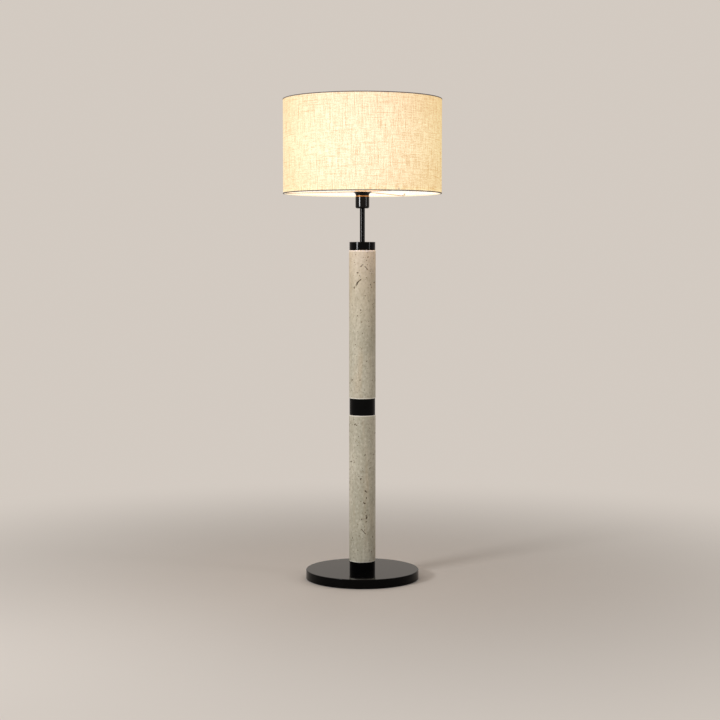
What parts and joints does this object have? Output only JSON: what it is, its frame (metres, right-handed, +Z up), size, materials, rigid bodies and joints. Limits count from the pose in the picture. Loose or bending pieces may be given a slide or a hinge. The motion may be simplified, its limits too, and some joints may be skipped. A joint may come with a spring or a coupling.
{
  "type": "column floor lamp",
  "caption": "Free-standing floor lamp with a drum fabric shade on a stone column with black collars and a round weighted base.",
  "frame": {"origin": "on the floor, at the centre of the round base", "axes": "+Z up along the column, +Y towards the cable inlet at the back, -Y the front, +X the lamp's right-hand side seen from the front"},
  "size_m": [0.5013, 0.5014, 1.5205],
  "materials": {
    "black_gloss": "high-gloss black enamel on steel",
    "steel": "zinc-plated steel",
    "iron": "bare grey casting",
    "foot": "soft black elastomer",
    "travertine": "honed, unfilled travertine",
    "gasket": "thin elastomer sheet",
    "brass": "plain brass",
    "holder_black": "black phenolic moulding",
    "porcelain": "white glazed porcelain",
    "white_nylon": "natural white nylon",
    "white_plastic": "white moulded plastic",
    "wire_brown": "brown insulation on copper",
    "wire_blue": "blue insulation on copper",
    "linen": "natural linen, plain weave with slubs",
    "liner": "white styrene film",
    "tape": "dark grey-brown woven tape",
    "seam_tape": "linen strip over the joint",
    "wire_frame": "cream-enamelled steel wire",
    "opal": "opal polycarbonate",
    "cap_metal": "bare aluminium screw cap",
    "black_glass": "black insulating disc",
    "solder": "tinned contact",
    "board": "white solder mask on aluminium",
    "chip": "yellow phosphor"
  },
  "bodies": {
    "stand": {"foot_pads": "foot", "bottom_plate": "steel", "plate_screws": "steel", "base_weight": "iron", "base_cover": "black_gloss", "cable_inlet": "holder_black", "inlet_nut": "holder_black", "terminal_block": "white_plastic", "block_screws": "steel", "bottom_collar": "black_gloss", "lower_stone": "travertine", "lower_middle_collar": "black_gloss", "upper_middle_collar": "black_gloss", "upper_stone": "travertine", "top_collar": "black_gloss", "stone_gaskets": "gasket", "top_lid": "black_gloss", "lower_rod": "steel", "upper_rod": "steel", "coupling_nut": "steel", "section_nuts": "steel", "base_washer": "steel", "base_lock_washer": "steel", "base_nut": "steel", "stem_tube": "black_gloss", "stem_nipple": "steel", "holder_nut": "steel", "holder_cup": "black_gloss", "holder_band": "brass", "holder_sleeve": "holder_black", "holder_core": "porcelain", "screw_shell": "brass", "centre_contact": "brass", "holder_terminals": "brass", "terminal_screws": "steel", "live_wire": "wire_brown", "neutral_wire": "wire_blue", "shade_flange": "black_gloss"},
    "shade": {"shade_fabric": "linen", "shade_liner": "liner", "bottom_trim": "tape", "top_trim": "tape", "bottom_hoop": "wire_frame", "top_hoop": "wire_frame", "shade_seam": "seam_tape", "gallery_ring": "wire_frame", "spider_arms": "wire_frame", "arm_clips": "wire_frame"},
    "clamp_ring_washer": {"clamp_washer": "steel"},
    "clamp_ring": {"clamp_ring": "white_nylon"},
    "bulb": {"bulb_shell": "cap_metal", "bulb_insulator": "black_glass", "bulb_tip": "solder", "bulb_housing": "white_plastic", "bulb_globe": "opal", "led_board": "board", "led_chips": "chip"}
  },
  "joints": [
    {"name": "shade_swivel", "type": "hinge", "parent": "stand", "child": "shade", "pos_m": [0, 0, 1.2305], "axis": [0, 0, 1], "continuous": true},
    {"name": "clamp_ring_rise", "type": "slide", "parent": "stand", "child": "clamp_ring_washer", "axis": [0, 0, 1], "range_m": [0, 0.004]},
    {"name": "clamp_ring_turn", "type": "hinge", "parent": "clamp_ring_washer", "child": "clamp_ring", "pos_m": [0, 0, 1.2326], "axis": [0, 0, 1], "range_deg": [0, 720]},
    {"name": "bulb_unscrew", "type": "slide", "parent": "stand", "child": "bulb", "axis": [0, 0, 1], "range_m": [0, 0.028]}
  ],
  "couplings": [
    {"joint": "clamp_ring_rise", "follows": "clamp_ring_turn", "m_per_rad": 0.00031831}
  ]
}
